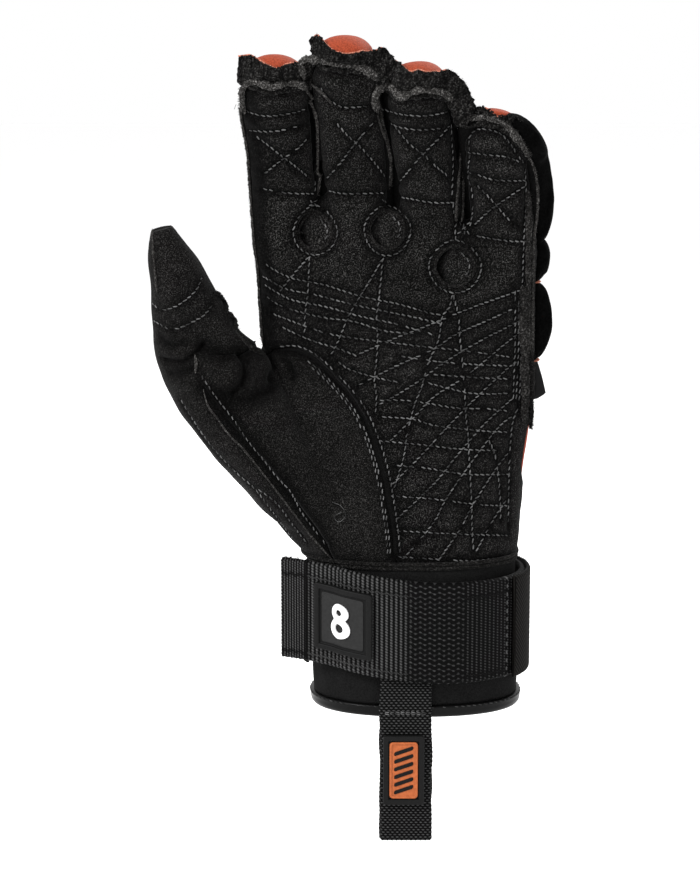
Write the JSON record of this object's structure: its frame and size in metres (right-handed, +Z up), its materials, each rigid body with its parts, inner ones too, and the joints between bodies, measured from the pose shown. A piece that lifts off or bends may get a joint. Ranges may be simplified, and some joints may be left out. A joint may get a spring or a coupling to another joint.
{
  "type": "water ski glove",
  "caption": "Left-hand water ski glove with a quilted suede palm, orange back, padded outer side, neoprene cuff, woven wrist strap and a pull tab below the cuff.",
  "frame": {"origin": "centre of the wrist opening, on the lower rim of the cuff", "axes": "+Z runs up along the fingers, -Y is the palm side, +X is the little-finger side"},
  "size_m": [0.1479, 0.0631, 0.2915],
  "materials": {
    "suede": "matt black suede with light grey quilting",
    "neoprene": "black cloth-faced neoprene",
    "binding": "shiny black binding tape",
    "orange_cloth": "orange-red cloth",
    "side_cloth": "matt black cloth",
    "raw_edge": "grey raw suede edge",
    "webbing": "ribbed black webbing",
    "rubber": "moulded dark grey rubber",
    "white_rubber": "white rubber",
    "orange_rubber": "orange rubber"
  },
  "bodies": {
    "root": {"neoprene_cuff": "neoprene", "cuff_binding": "binding", "palm_panel": "suede", "thenar_panel": "suede", "thumb_panel": "suede", "thumb_back_panel": "side_cloth", "back_panel": "orange_cloth", "index_outer_gusset": "side_cloth", "index_middle_gusset": "side_cloth", "middle_ring_gusset": "side_cloth", "ring_little_gusset": "side_cloth", "little_outer_gusset": "side_cloth", "index_middle_keyhole": "side_cloth", "middle_ring_keyhole": "side_cloth", "ring_little_keyhole": "side_cloth", "index_raw_edge": "raw_edge", "middle_raw_edge": "raw_edge", "ring_raw_edge": "raw_edge", "little_raw_edge": "raw_edge", "index_tip_flap": "side_cloth", "middle_tip_flap": "side_cloth", "ring_tip_flap": "side_cloth", "little_tip_flap": "side_cloth", "side_pad_lower": "side_cloth", "side_pad_middle": "side_cloth", "side_pad_upper": "side_cloth", "knuckle_bar": "rubber", "wrist_strap": "webbing", "strap_side_band": "webbing", "size_patch": "rubber", "size_figure": "white_rubber", "pull_tab": "webbing", "tab_label_frame": "rubber", "tab_label_plate": "orange_rubber"}
  },
  "joints": []
}
